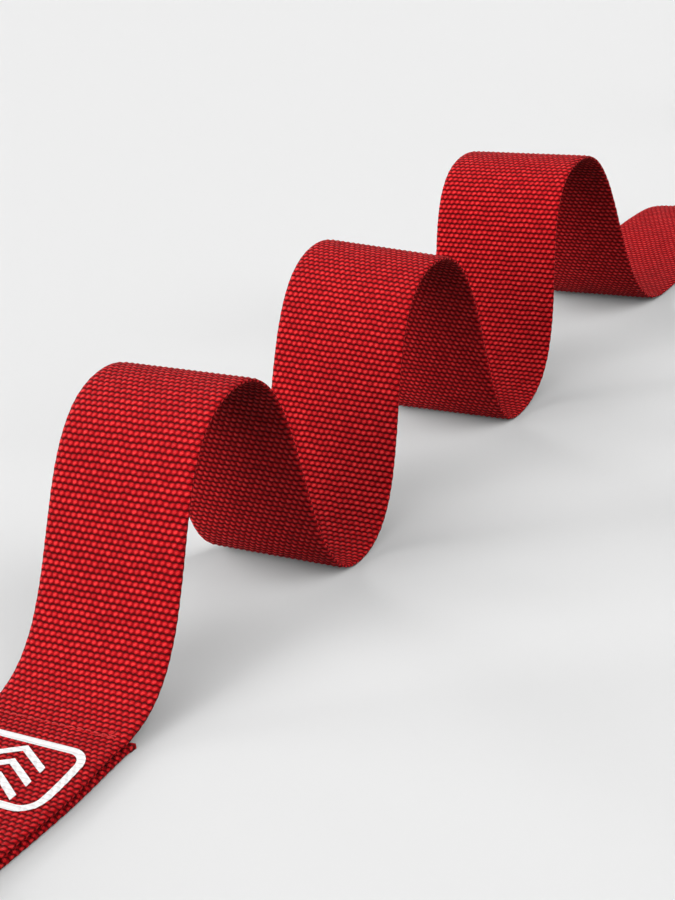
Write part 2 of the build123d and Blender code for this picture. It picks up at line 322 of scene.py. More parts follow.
def handling_group() -> bpy.types.NodeTree:
    """Marks of handling on metal.

    Returns:
        A group that takes a place and gives fine scratches, rubbed corners and smudges.
    """
    shader, source, sink = new_group(
        "handling_marks",
        {"Place": "Vector"},
        {"Scratches": "Float", "Rubbed": "Float", "Smudges": "Float"},
    )
    place = source.outputs["Place"]
    lines = []
    for angle in SCRATCH_ANGLES:
        stretch = {"Vector": place, "Rotation": (0.2, angle, angle), "Scale": SCRATCH_STRETCH}
        turned = shader.node("Mapping", stretch)
        lines.append(shader.ramp(shader.noise(turned.outputs[0], 1.0, 1.0), 0.72, 0.8))
    first_two = shader.math("MAXIMUM", lines[0], lines[1])
    shader.feed(sink.inputs["Scratches"], shader.math("MAXIMUM", first_two, lines[2]))
    pointed = shader.node("NewGeometry").outputs["Pointiness"]
    patches = shader.ramp(shader.noise(place, 420.0, 3.0), 0.35, 0.6)
    worn = shader.math("MULTIPLY", shader.ramp(pointed, 0.52, 0.6), patches)
    shader.feed(sink.inputs["Rubbed"], worn)
    shader.feed(sink.inputs["Smudges"], shader.ramp(shader.noise(place, 95.0, 4.0, 0.6), 0.4, 0.66))
    return shader.tree


class Groups:
    """The node groups that more than one material uses, each built once."""

    def __init__(self) -> None:
        """Builds the groups."""
        self.weave = weave_group(Crown())
        self.handling = handling_group()


@dataclass(frozen=True)
class WovenCotton:
    """Dyed cotton webbing in a heavy plain weave."""

    name: str = "red_cotton_webbing"
    yarn: Colour = (0.62, 0.0032, 0.0085)
    # Lighter, paler red painted on the crowns' tops as a painted highlight
    painted_highlight: Colour = (0.95, 0.040, 0.042)
    # Dark red painted into the low gaps between crowns as painted shade
    gap: Colour = (0.09, 0.0005, 0.0016)
    bounce: Colour = (0.08, 0.020, 0.020)
    relief: float = 1.15 * MM
    sheen: float = 0.02

    def material(self, groups: Groups) -> bpy.types.Material:
        """Builds the material on the webbing's own pattern coordinates.

        Args:
            groups: the shared node groups.

        Returns:
            The finished material.
        """
        made, shader, surface = new_material(self.name)
        pattern = shader.node("UVMap", uv_map="weave").outputs[0]
        weave = shader.node("Group", node_tree=groups.weave)
        shader.feed(weave.inputs["Pattern"], pattern)
        shader.feed(weave.inputs["Waver"], 0.5)
        height, crown, tone = (weave.outputs[key] for key in ("Height", "Crown", "Tone"))
        # The low gaps between crowns get painted shade
        body = shader.mix(shader.ramp(height, 0.12, 0.86), self.gap, self.yarn)
        # The crowns' tops get a painted highlight
        body = shader.mix(shader.ramp(height, 0.7, 1.04), body, self.painted_highlight)
        yarn_tone = shader.math("MULTIPLY_ADD", tone, 0.10, 0.97)
        broad = shader.math("MULTIPLY_ADD", shader.noise(pattern, 0.06, 3.0), 0.14, 0.95)
        shade = shader.math("MULTIPLY", yarn_tone, broad)
        light = shader.node("CombineColor", dict.fromkeys(range(3), shade))
        body = shader.mix(1.0, body, light.outputs[0], "MULTIPLY")
        # Light that the webbing sends back onto the floor and itself is kept low and dull
        spread = shader.node("LightPath").outputs["Is Diffuse Ray"]
        shader.feed(surface.inputs["Base Color"], shader.mix(spread, body, self.bounce))
        shader.feed(surface.inputs["Roughness"], shader.ramp(crown, 0.0, 1.0, 0.92, 0.56))
        bump = shader.node("Bump", {"Height": height, "Strength": 1.0, "Distance": self.relief})
        shader.feed(surface.inputs["Normal"], bump.outputs[0])
        surface.inputs["Specular IOR Level"].default_value = 0.09
        surface.inputs["Sheen Weight"].default_value = self.sheen
        surface.inputs["Sheen Roughness"].default_value = 0.45
        surface.inputs["Sheen Tint"].default_value = (1.0, 0.42, 0.42, 1.0)
        return made


@dataclass(frozen=True)
class PrintInk:
    """White ink printed on the webbing, thin enough for the weave to show through."""

    name: str = "white_print_ink"
    ink: Colour = (0.90, 0.90, 0.90)
    thin: Colour = (0.82, 0.74, 0.74)
    relief: float = 0.22 * MM

    def material(self, groups: Groups) -> bpy.types.Material:
        """Builds the material on the printed piece's pattern coordinates.

        Args:
            groups: the shared node groups.

        Returns:
            The finished material.
        """
        made, shader, surface = new_material(self.name)
        pattern = shader.node("UVMap", uv_map="weave").outputs[0]
        weave = shader.node("Group", node_tree=groups.weave)
        shader.feed(weave.inputs["Pattern"], pattern)
        shader.feed(weave.inputs["Waver"], 0.5)
        cover = shader.ramp(weave.outputs["Height"], 0.0, 0.4)
        shader.feed(surface.inputs["Base Color"], shader.mix(cover, self.thin, self.ink))
        dullness = shader.ramp(shader.noise(pattern, 1.3, 3.0), 0.3, 0.7, 0.5, 0.66)
        shader.feed(surface.inputs["Roughness"], dullness)
        relief = {"Height": weave.outputs["Height"], "Strength": 0.7, "Distance": self.relief}
        bump = shader.node("Bump", relief)
        shader.feed(surface.inputs["Normal"], bump.outputs[0])
        return made


@dataclass(frozen=True)
class SewingThread:
    """Bright red polyester thread with its twist showing."""

    name: str = "bright_red_thread"
    lit: Colour = (0.76, 0.05, 0.05)
    shade: Colour = (0.42, 0.012, 0.016)
    twist: float = 2300.0
    relief: float = 0.06 * MM

    def material(self, groups: Groups) -> bpy.types.Material:
        """Builds the material on Object coordinates.

        Args:
            groups: the shared node groups, which thread has no use for.

        Returns:
            The finished material.
        """
        made, shader, surface = new_material(self.name)
        place = shader.node("TexCoord").outputs["Object"]
        slanted = shader.node("Mapping", {"Vector": place, "Rotation": (0.0, 0.0, 0.62)}).outputs[0]
        wave = {"Vector": slanted, "Scale": self.twist, "Distortion": 1.2}
        bands = shader.node("TexWave", wave, bands_direction="Y").outputs[1]
        speck = shader.noise(place, 1500.0, 3.0)
        share = shader.math("ADD", shader.math("MULTIPLY", bands, 0.65), shader.math("MULTIPLY", speck, 0.4))
        shader.feed(surface.inputs["Base Color"], shader.mix(share, self.shade, self.lit))
        shader.feed(surface.inputs["Roughness"], shader.ramp(bands, 0.0, 1.0, 0.7, 0.42))
        surface.inputs["Specular IOR Level"].default_value = 0.15
        bump = shader.node("Bump", {"Height": bands, "Strength": 0.6, "Distance": self.relief})
        shader.feed(surface.inputs["Normal"], bump.outputs[0])
        return made


@dataclass(frozen=True)
class Metal:
    """Plated or bare metal with handling marks."""

    name: str
    colour: Colour
    rubbed: Colour
    smooth: float
    dull: float
    scratch_depth: float = 0.02 * MM
    smudge_tone: float = 0.93
    scratch_tone: float = 0.3

    def material(self, groups: Groups) -> bpy.types.Material:
        """Builds the material on Object coordinates.

        Args:
            groups: the shared node groups.

        Returns:
            The finished material.
        """
        made, shader, surface = new_material(self.name)
        place = shader.node("TexCoord").outputs["Object"]
        marks = shader.node("Group", node_tree=groups.handling)
        shader.feed(marks.inputs["Place"], place)
        scratches, rubbed, smudges = (marks.outputs[key] for key in ("Scratches", "Rubbed", "Smudges"))
        darker = tuple(self.smudge_tone * part for part in self.colour)
        body = shader.mix(smudges, self.colour, darker)
        bright = shader.math("MAXIMUM", rubbed, shader.math("MULTIPLY", scratches, self.scratch_tone))
        body = shader.mix(bright, body, self.rubbed)
        shader.feed(surface.inputs["Base Color"], body)
        gloss = shader.math("MULTIPLY_ADD", smudges, self.dull - self.smooth, self.smooth)
        gloss = shader.math("ADD", gloss, shader.math("MULTIPLY", scratches, 0.14))
        shader.feed(surface.inputs["Roughness"], gloss)
        ripple = shader.math("MULTIPLY", shader.noise(place, 260.0, 2.0), 1.6)
        height = shader.math("SUBTRACT", ripple, scratches)
        bump = shader.node("Bump", {"Height": height, "Strength": 0.5, "Distance": self.scratch_depth})
        shader.feed(surface.inputs["Normal"], bump.outputs[0])
        surface.inputs["Metallic"].default_value = 1.0
        return made


class Finish(Enum):
    """The finishes of the belt, named as its record names their slots."""

    WEBBING = WovenCotton()
    PRINT = PrintInk()
    THREAD = SewingThread()
    NICKEL = Metal("nickel_plate", (0.63, 0.605, 0.565), (0.78, 0.76, 0.72), 0.22, 0.30)
    STEEL = Metal("zinc_plated_steel", (0.56, 0.57, 0.58), (0.75, 0.75, 0.75), 0.28, 0.44)
    SPRING = Metal("drawn_spring_steel", (0.38, 0.38, 0.40), (0.58, 0.58, 0.58), 0.3, 0.42)


class Wardrobe:
    """Makes each finish's material once and puts it on pieces."""

    def __init__(self) -> None:
        """Builds the shared groups and every material."""
        groups = Groups()
        self.made = {finish: finish.value.material(groups) for finish in Finish}

    def dress(self, piece: bpy.types.Object, finish: Finish) -> None:
        """Gives a piece one finish."""
        piece.data.materials.clear()
        piece.data.materials.append(self.made[finish])


# ---- Route of the webbing ----


@dataclass(frozen=True)
class Bend:
    """A level place on the webbing's outer face, between two legs of its route.

    x, y and z place the middle of the outer face. back and ahead are how far the curve holds its
    level direction before and after. heading is the way it runs in the floor plane, yaw turns the
    crosswise direction in that plane and tilt lifts its left side, in degrees.
    """

    x: float
    y: float
    z: float
    back: float
    ahead: float
    heading: float = 0.0
    yaw: float = 0.0
    tilt: float = 0.0

    def point(self, held: float) -> Vector:
        """The place that lies a held distance along the heading, or behind it if negative."""
        turn = math.radians(self.heading)
        return Vector((self.x + held * math.cos(turn), self.y + held * math.sin(turn), self.z))

    def across(self) -> tuple[float, float]:
        """Yaw and tilt in radians."""
        return math.radians(self.yaw), math.radians(self.tilt)


BENDS = (
    Bend(-0.4, 0.8, 0.0, 0, 11, 180),
    Bend(-34.0, -0.9, 0.0, 11, 18, 180),
    Bend(-90.0, 0.0, 0.0, 18, 5.2, 180),
    Bend(-90.0, 0.0, 7.8, 5.2, 9),
    Bend(-66.0, 0.0, 3.75, 9, 10, tilt=-0.6),
    Bend(-34.0, -1.0, 3.75, 10, 9, tilt=-0.6),
    Bend(-6.0, 1.2, 3.75, 9, 43.5, yaw=0.2, tilt=-0.8),
    Bend(71.1, 1.4, 79.6, 42.2, 36.4, yaw=2.7, tilt=-1.2),
    Bend(115.5, -2.4, 1.6, 33.4, 39.6, yaw=-0.7, tilt=0.3),
    Bend(191.6, 1.0, 78.3, 43.7, 38.9, yaw=5.6, tilt=1.6),
    Bend(238.1, 0.3, 1.6, 29.5, 54.3, yaw=-0.5, tilt=0.3),
    Bend(307.0, 0.4, 80.0, 47.1, 41.5, yaw=0.4, tilt=-0.3),
    Bend(378.2, -2.2, 1.6, 47.0, 34.0, -2, yaw=-0.2, tilt=-0.5),
    Bend(465.0, -9.0, 9.7, 36.0, 17.0, -8, yaw=-4.0),
    Bend(505.1, -15.3, 1.6, 20.0, 10.0, -8, yaw=6.0),
    Bend(534.8, -19.5, 1.6, 10.0, 10.8, -8, yaw=8.0),
    Bend(566.8, -21.7, 1.6, 10.8, 13.0),
    Bend(606.8, -21.7, 1.6, 13.0, 36.0),
    Bend(676.8, -21.7, 36.0, 34.0, 32.0, yaw=1.5, tilt=0.6),
    Bend(744.8, -21.7, 1.6, 36.0, 60.0, yaw=-0.5),
    Bend(930.0, -21.7, 1.6, 60.0, 5.0),
    Bend(946.0, -21.7, 2.2, 5.0, 7.0),
    Bend(963.4, -21.7, 2.2, 6.0, 0),
)
TOP_PLY_START = 4
FIRST_RISE = 6


@dataclass
class Webbing:
    """The woven strap, from its raw end under the doubled end to its far end in the tip."""

    width: float = 50.8
    thick: float = 1.6
    row_pitch: float = 1.85
    columns: int = 46
    weave_depth: float = 0.30
    edge_thick: float = 0.46
    edge_swing: float = 0.08
    edge_wander: float = 0.05
    beside_edge: float = 0.08
    raw_rows: int = 1
    seam_places: tuple[float, float] = (-2.9, -58.0)
    seam_dip: float = 0.34
    seam_spread: float = 1.7
    seam_reach: float = 14.0
    seed: int = 11
    samples: int = 90
    places: list[tuple[Vector, Vector, Vector]] = field(default_factory=list)
    lengths: list[float] = field(default_factory=list)
    bend_lengths: list[float] = field(default_factory=list)

    def survey(self) -> None:
        """Walks the route once, and keeps its outer face, directions and running length."""
        last_middle = None
        run = 0.0
        for start, end in zip(BENDS, BENDS[1:]):
            corners = [start.point(0), start.point(start.ahead), end.point(-end.back), end.point(0)]
            for step in range(self.samples + (end is BENDS[-1])):
                share = step / self.samples
                left = 1 - share
                face = left**3 * corners[0] + 3 * left**2 * share * corners[1]
                face += 3 * left * share**2 * corners[2] + share**3 * corners[3]
                ahead = left**2 * (corners[1] - corners[0]) + 2 * left * share * (corners[2] - corners[1])
                ahead += share**2 * (corners[3] - corners[2])
                ease = share * share * (3 - 2 * share)
                yaw, tilt = ((1 - ease) * a + ease * b for a, b in zip(start.across(), end.across()))
                level = math.cos(tilt)
                across = Vector((math.sin(yaw) * level, math.cos(yaw) * level, math.sin(tilt)))
                out = ahead.cross(across).normalized()
                middle = face - out * self.thick / 2
                if last_middle is not None:
                    run += (middle - last_middle).length
                if step == 0:
                    self.bend_lengths.append(run)
                last_middle = middle
                self.places.append((middle, across, out))
                self.lengths.append(run)

    def lay(self, along: float, across: float, above: float) -> Vector:
        """Places a point of the flat webbing on its route.

        Args:
            along: how far it is from the raw end.
            across: how far it is left of the middle.
            above: how far it is outside the middle of the webbing's thickness.

        Returns:
            The point in the shared frame, in metres.
        """
        spot = min(max(bisect_right(self.lengths, along), 1), len(self.lengths) - 1)
        before, after = self.lengths[spot - 1], self.lengths[spot]
        share = (along - before) / (after - before)
        middle, side, out = (a.lerp(b, share) for a, b in zip(self.places[spot - 1], self.places[spot]))
        return (middle + side * across + out * above) * MM

    def length_to(self, x: float) -> float:
        """Running length to a place on the doubled end's upper ply, given by its x."""
        return self.bend_lengths[FIRST_RISE] - (BENDS[FIRST_RISE].x - x)

    def pull(self, along: float) -> float:
        """How far the stitches pull the upper ply down at a running length."""
        away = (along - self.length_to(place) for place in self.seam_places)
        return -self.seam_dip * sum(math.exp(-((gap / self.seam_spread) ** 2)) for gap in away)

    def skin(self, row: int, column: int, outer: bool) -> tuple[float, float]:
        """Height of the woven skin over a crossing, and how far the edge swings out there.

        Args:
            row: the crossing's row.
            column: the crossing's column.
            outer: whether it is on the outer face.

        Returns:
            The distance above the middle of the thickness, and the swing across.
        """
        sunk = (row + column) % 2 == int(outer)
        height = self.thick / 2 - (self.weave_depth if sunk else 0.0)
        from_edge = min(column, self.columns - column)
        if from_edge == 0:
            height = self.thick / 2 * (self.edge_thick if row > self.raw_rows else 1.0)
        elif from_edge == 1:
            height -= self.beside_edge
        swing = self.edge_swing * (1 if row % 2 else -1) if from_edge == 0 else 0.0
        return (height if outer else -height), swing

    def build(self, wardrobe: Wardrobe) -> bpy.types.Object:
        """Weaves the strap flat and lays it along its route.

        Args:
            wardrobe: the materials.

        Returns:
            The strap.
        """
        self.survey()
        total = self.lengths[-1]
        rows = round(total / self.row_pitch)
        rng = random.Random(self.seed)
        bm = bmesh.new()
        bmesh.ops.create_grid(bm, x_segments=rows, y_segments=self.columns, size=0.5)
        bmesh.ops.scale(bm, vec=(rows, self.columns, 1), verts=bm.verts)
        bmesh.ops.translate(bm, vec=(rows / 2, self.columns / 2, 0), verts=bm.verts)
        outer = bm.verts.layers.int.new("outer")
        for vert in bm.verts:
            vert[outer] = 1
        lower = bmesh.ops.duplicate(bm, geom=bm.faces[:])
        under_verts = verts_of(lower)
        under_faces = [item for item in lower["geom"] if isinstance(item, bmesh.types.BMFace)]
        bmesh.ops.translate(bm, vec=(0, 0, -1), verts=under_verts)
        bmesh.ops.reverse_faces(bm, faces=under_faces)
        for vert in under_verts:
            vert[outer] = 0
        rim = [edge for edge in bm.edges if edge.is_boundary]
        bmesh.ops.bridge_loops(bm, edges=rim)
        weave = bm.loops.layers.uv.new("weave")
        # The under face's crowns lie one column on, and an edge spans one and a half columns
        for face in bm.faces:
            flat_under = all(not vert[outer] for vert in face.verts)
            for loop in face.loops:
                shift = 0.0 if loop.vert[outer] else (1.0 if flat_under else 1.5)
                loop[weave].uv = (loop.vert.co.x, loop.vert.co.y + shift)
        column_pitch = self.width / self.columns
        wander = [rng.uniform(-self.edge_wander, self.edge_wander) for _ in range(rows + 1)]
        upper_start = self.bend_lengths[TOP_PLY_START]
        upper_end = self.bend_lengths[FIRST_RISE] + self.seam_reach
        for vert in bm.verts:
            row, column = round(vert.co.x), round(vert.co.y)
            height, swing = self.skin(row, column, bool(vert[outer]))
            along = total * row / rows
            side = column_pitch * (column - self.columns / 2)
            if swing:
                side += math.copysign(swing + wander[row] - self.edge_swing, side)
            if upper_start < along < upper_end:
                height += self.pull(along)
            vert.co = self.lay(along, side, height)
        piece = mesh_object("belt_webbing_woven", bm)
        wardrobe.dress(piece, Finish.WEBBING)
        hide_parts("belt_webbing")
        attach(piece, "belt")
        LOG.info("webbing: %d rows, %.0f mm long", rows, total)
        return piece


# How far along a stitch each point of its arch is, and how far above the webbing's face
STITCH_ARCH = ((0.0, -0.6), (0.12, -0.28), (0.3, 0.12), (0.5, 0.18), (0.7, 0.12), (0.88, -0.28), (1.0, -0.6))
# How far along and across the stitches sewn back start and end from the row's own needle holes
BACK_START = (-0.75, 0.5)
BACK_END = (-0.7, 0.4)
# How far along and across each loose thread end runs
TAIL_RUNS = ((-2.6, 1.0), (1.8, -1.6))


@dataclass
class Seam:
    """One row of lockstitches across both plies of the doubled end."""

    name: str
    node: str
    x: float
    pitch: float = 2.9
    count: int = 15
    radius: float = 0.21
    slope: float = 0.0
    tails: bool = False
    seed: int = 5
    sides: int = 8
    stray_along: float = 0.18
    stray_across: float = 0.15
    tail_steps: int = 8
    tail_turn: float = 2.6
    tail_curl: float = 0.6
    tail_sink: float = 0.3
    tail_lift: float = 0.28
    tail_rise: float = 0.35
    tail_thin: float = 0.55
    tail_sides: int = 7

    def stitch(self, bm: bmesh.types.BMesh, strap: Webbing, start: Pair, end: Pair) -> None:
        """Lays one stitch between two needle holes.

        Args:
            bm: the bmesh that gets it.
            strap: the webbing that it is sewn through.
            start: how far along and across the first hole is.
            end: the same of the second hole.
        """
        face = strap.thick / 2
        path = []
        for share, rise in STITCH_ARCH:
            along = start[0] + (end[0] - start[0]) * share
            across = start[1] + (end[1] - start[1]) * share
            path.append(strap.lay(along, across, face + rise + strap.pull(along)))
        sweep(bm, path, self.radius * MM, self.sides)

    def tail(self, bm: bmesh.types.BMesh, strap: Webbing, hole: Pair, run: Pair) -> None:
        """Lays a loose end of thread on the webbing, curving away from a needle hole."""
        along, across = hole
        path = []
        for step in range(self.tail_steps + 1):
            share = step / self.tail_steps
            curl = math.sin(share * self.tail_turn) * self.tail_curl
            spot = along + run[0] * share + curl * (1 if run[1] > 0 else -1)
            side = across + run[1] * share
            lift = -self.tail_sink if step == 0 else self.tail_lift + self.tail_rise * share
            path.append(strap.lay(spot, side, strap.thick / 2 + lift + strap.pull(spot)))
        sweep(bm, path, self.radius * self.tail_thin * MM, self.tail_sides)

    def build(self, strap: Webbing, wardrobe: Wardrobe) -> bpy.types.Object:
        """Sews the row.

        Args:
            strap: the webbing that is sewn.
            wardrobe: the materials.

        Returns:
            The row of stitches.
        """
        rng = random.Random(self.seed)
        bm = bmesh.new()
        half = self.pitch * self.count / 2
        middle = strap.length_to(self.x)
        holes = []
        for hole in range(self.count + 1):
            across = half - hole * self.pitch
            along = middle + self.slope * across + rng.uniform(-self.stray_along, self.stray_along)
            holes.append((along, across + rng.uniform(-self.stray_across, self.stray_across)))
        for start, end in zip(holes, holes[1:]):
            self.stitch(bm, strap, start, end)
        if self.tails:
            # Stitches sewn back over the row's end, and the two thread ends left there
            for start, end in ((holes[-1], holes[-2]), (holes[-2], holes[-3])):
                back_start = (start[0] + BACK_START[0], start[1] + BACK_START[1])
                back_end = (end[0] + BACK_END[0], end[1] + BACK_END[1])
                self.stitch(bm, strap, back_start, back_end)
            self.tail(bm, strap, holes[-3], TAIL_RUNS[0])
            self.tail(bm, strap, holes[-2], TAIL_RUNS[1])
        bmesh.ops.recalc_face_normals(bm, faces=bm.faces)
        piece = mesh_object(self.name, bm)
        wardrobe.dress(piece, Finish.THREAD)
        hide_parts(self.node)
        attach(piece, "belt")
        LOG.info("%s: %d stitches", self.name, self.count)
        return piece


@dataclass
class PrintedMark:
    """A rounded frame round three chevrons, printed on the doubled end."""

    x: float = -26.5
    length: float = 30.0
    width: float = 42.0
    line: float = 2.6
    corner: float = 7.0
    chevron_places: tuple[float, ...] = (-6.5, 0.0, 6.5)
    chevron_reach: tuple[float, float] = (3.5, 11.0)
    above: float = 0.07
    film: float = 0.1
    sunk: float = 0.13
    near: float = 0.05

    def outline(self, bm: bmesh.types.BMesh) -> None:
        """Draws the rounded frame as a flat ring."""
        made = bmesh.ops.create_grid(bm, x_segments=1, y_segments=1, size=0.5)["verts"]
        bmesh.ops.scale(bm, vec=(self.length, self.width, 1), verts=made)
        bmesh.ops.bevel(
            bm, geom=made, offset=self.corner, segments=8, profile=0.5, affect="VERTICES", material=-1
        )
        bm.faces.ensure_lookup_table()
        middle = bm.faces[:]
        bmesh.ops.inset_region(
            bm, faces=middle, thickness=self.line, use_even_offset=True, use_boundary=True
        )
        bmesh.ops.delete(bm, geom=middle, context="FACES")

    def chevron(self, bm: bmesh.types.BMesh, place: float) -> None:
        """Draws one chevron that points along the belt."""
        point, reach = self.chevron_reach
        made = bmesh.ops.create_grid(bm, x_segments=1, y_segments=2, size=0.5)["verts"]
        bmesh.ops.scale(bm, vec=(self.line, 2 * reach, 1), verts=made)
        tips = [vert for vert in made if abs(vert.co.y) > reach / 2]
        bmesh.ops.translate(bm, vec=(-point, 0, 0), verts=tips)
        middle = [vert for vert in made if abs(vert.co.y) < reach / 2]
        bmesh.ops.translate(bm, vec=(point, 0, 0), verts=middle)
        bmesh.ops.translate(bm, vec=(place, 0, 0), verts=made)

    def build(self, strap: Webbing, wardrobe: Wardrobe) -> bpy.types.Object:
        """Prints the mark on the webbing.

        Args:
            strap: the webbing that carries it.
            wardrobe: the materials.

        Returns:
            The printed piece.
        """
        bm = bmesh.new()
        self.outline(bm)
        for place in self.chevron_places:
            self.chevron(bm, place)
        column_pitch = strap.width / strap.columns
        middle = strap.length_to(self.x)
        row_length = strap.lengths[-1] / round(strap.lengths[-1] / strap.row_pitch)
        first_row = math.ceil((middle - self.length / 2) / row_length)
        last_row = math.floor((middle + self.length / 2) / row_length)
        for row in range(first_row, last_row + 1):
            cut(bm, (row * row_length - middle, 0, 0), (1, 0, 0))
        last_column = math.ceil(self.width / 2 / column_pitch)
        for column in range(-last_column, last_column + 1):
            cut(bm, (0, column * column_pitch, 0), (0, 1, 0))
        weave = bm.loops.layers.uv.new("weave")
        for face in bm.faces:
            for loop in face.loops:
                along = (loop.vert.co.x + middle) / row_length
                loop[weave].uv = (along, loop.vert.co.y / column_pitch + strap.columns / 2)
        made = bmesh.ops.extrude_face_region(bm, geom=bm.faces[:], use_keep_orig=True)
        top = set(verts_of(made))
        under = [face for face in bm.faces if not any(vert in top for vert in face.verts)]
        bmesh.ops.reverse_faces(bm, faces=under)
        for vert in bm.verts:
            along, across = vert.co.x + middle, vert.co.y
            row, column = along / row_length, across / column_pitch + strap.columns / 2
            on_crossing = abs(row - round(row)) < self.near and abs(column - round(column)) < self.near
            low = on_crossing and (round(row) + round(column)) % 2 == 1
            lift = self.above + (self.film if vert in top else 0.0) - (self.sunk if low else 0.0)
            vert.co = strap.lay(along, across, strap.thick / 2 + lift + strap.pull(along))
        bmesh.ops.recalc_face_normals(bm, faces=bm.faces)
        piece = mesh_object("printed_mark_ink", bm, smooth=False)
        wardrobe.dress(piece, Finish.PRINT)
        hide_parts("printed_mark")
        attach(piece, "belt")
        LOG.info("printed mark: %d faces", len(piece.data.polygons))
        return piece


@dataclass
class BeltTip:
    """Folded metal sleeve crimped on the free end."""

    corner: float = 5.0
    wall: float = 0.5
    depth: float = 21.0
    soft_edge: float = 0.3
    groove_cuts: tuple[float, ...] = (4.2, 5.0, 5.8, 6.6)
    groove_middle: float = 5.4
    groove_half: float = 0.5
    groove_squeeze: float = 0.86
    face_share: float = 0.45
    sharp: float = 32.0

    def build(self, wardrobe: Wardrobe) -> bpy.types.Object:
        """Forms the sleeve in the space that its CAD node holds.

        Args:
            wardrobe: the materials.

        Returns:
            The sleeve.
        """
        low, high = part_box("belt_tip")
        size, middle = high - low, (low + high) / 2
        bm = bmesh.new()
        bmesh.ops.create_cube(bm, size=1.0)
        bmesh.ops.scale(bm, vec=size, verts=bm.verts)
        far_corners = [
            edge for edge in bm.edges
            if all(vert.co.x > 0 for vert in edge.verts)
            and abs(edge.verts[0].co.z - edge.verts[1].co.z) > LEVEL
        ]
        bmesh.ops.bevel(
            bm, geom=far_corners, offset=self.corner * MM, segments=10, profile=0.5, affect="EDGES", material=-1
        )
        mouth = [face for face in bm.faces if face.normal.x < -0.9]
        bmesh.ops.inset_region(
            bm, faces=mouth, thickness=self.wall * MM, use_even_offset=True, use_boundary=True
        )
        inner = bmesh.ops.extrude_discrete_faces(bm, faces=mouth)["faces"]
        bmesh.ops.translate(bm, vec=(self.depth * MM, 0, 0), verts=inner[0].verts)
        # Crimped groove across both faces, near the mouth
        for offset in self.groove_cuts:
            cut(bm, (offset * MM - size.x / 2, 0, 0), (1, 0, 0))
        groove = [
            vert for vert in bm.verts
            if abs(vert.co.x + size.x / 2 - self.groove_middle * MM) < self.groove_half * MM
            and abs(vert.co.z) > size.z * self.face_share
        ]
        bmesh.ops.scale(bm, vec=(1, 1, self.groove_squeeze), verts=groove)
        outline = [
            edge for edge in bm.edges
            if len(edge.link_faces) == 2 and edge.calc_face_angle(0.0) > 1.0
            and max(abs(vert.co.z) for vert in edge.verts) > size.z * self.face_share
        ]
        bmesh.ops.bevel(
            bm, geom=outline, offset=self.soft_edge * MM, segments=3, profile=0.5, affect="EDGES",
            material=-1, clamp_overlap=True,
        )
        bmesh.ops.translate(bm, vec=middle, verts=bm.verts)
        bmesh.ops.remove_doubles(bm, verts=bm.verts, dist=1e-6)
        bmesh.ops.recalc_face_normals(bm, faces=bm.faces)
        piece = mesh_object("belt_tip_formed", bm)
        piece.data.set_sharp_from_angle(angle=math.radians(self.sharp))
        wardrobe.dress(piece, Finish.NICKEL)
        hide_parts("belt_tip")
        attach(piece, "belt")
        LOG.info("belt tip: %d faces", len(piece.data.polygons))
        return piece


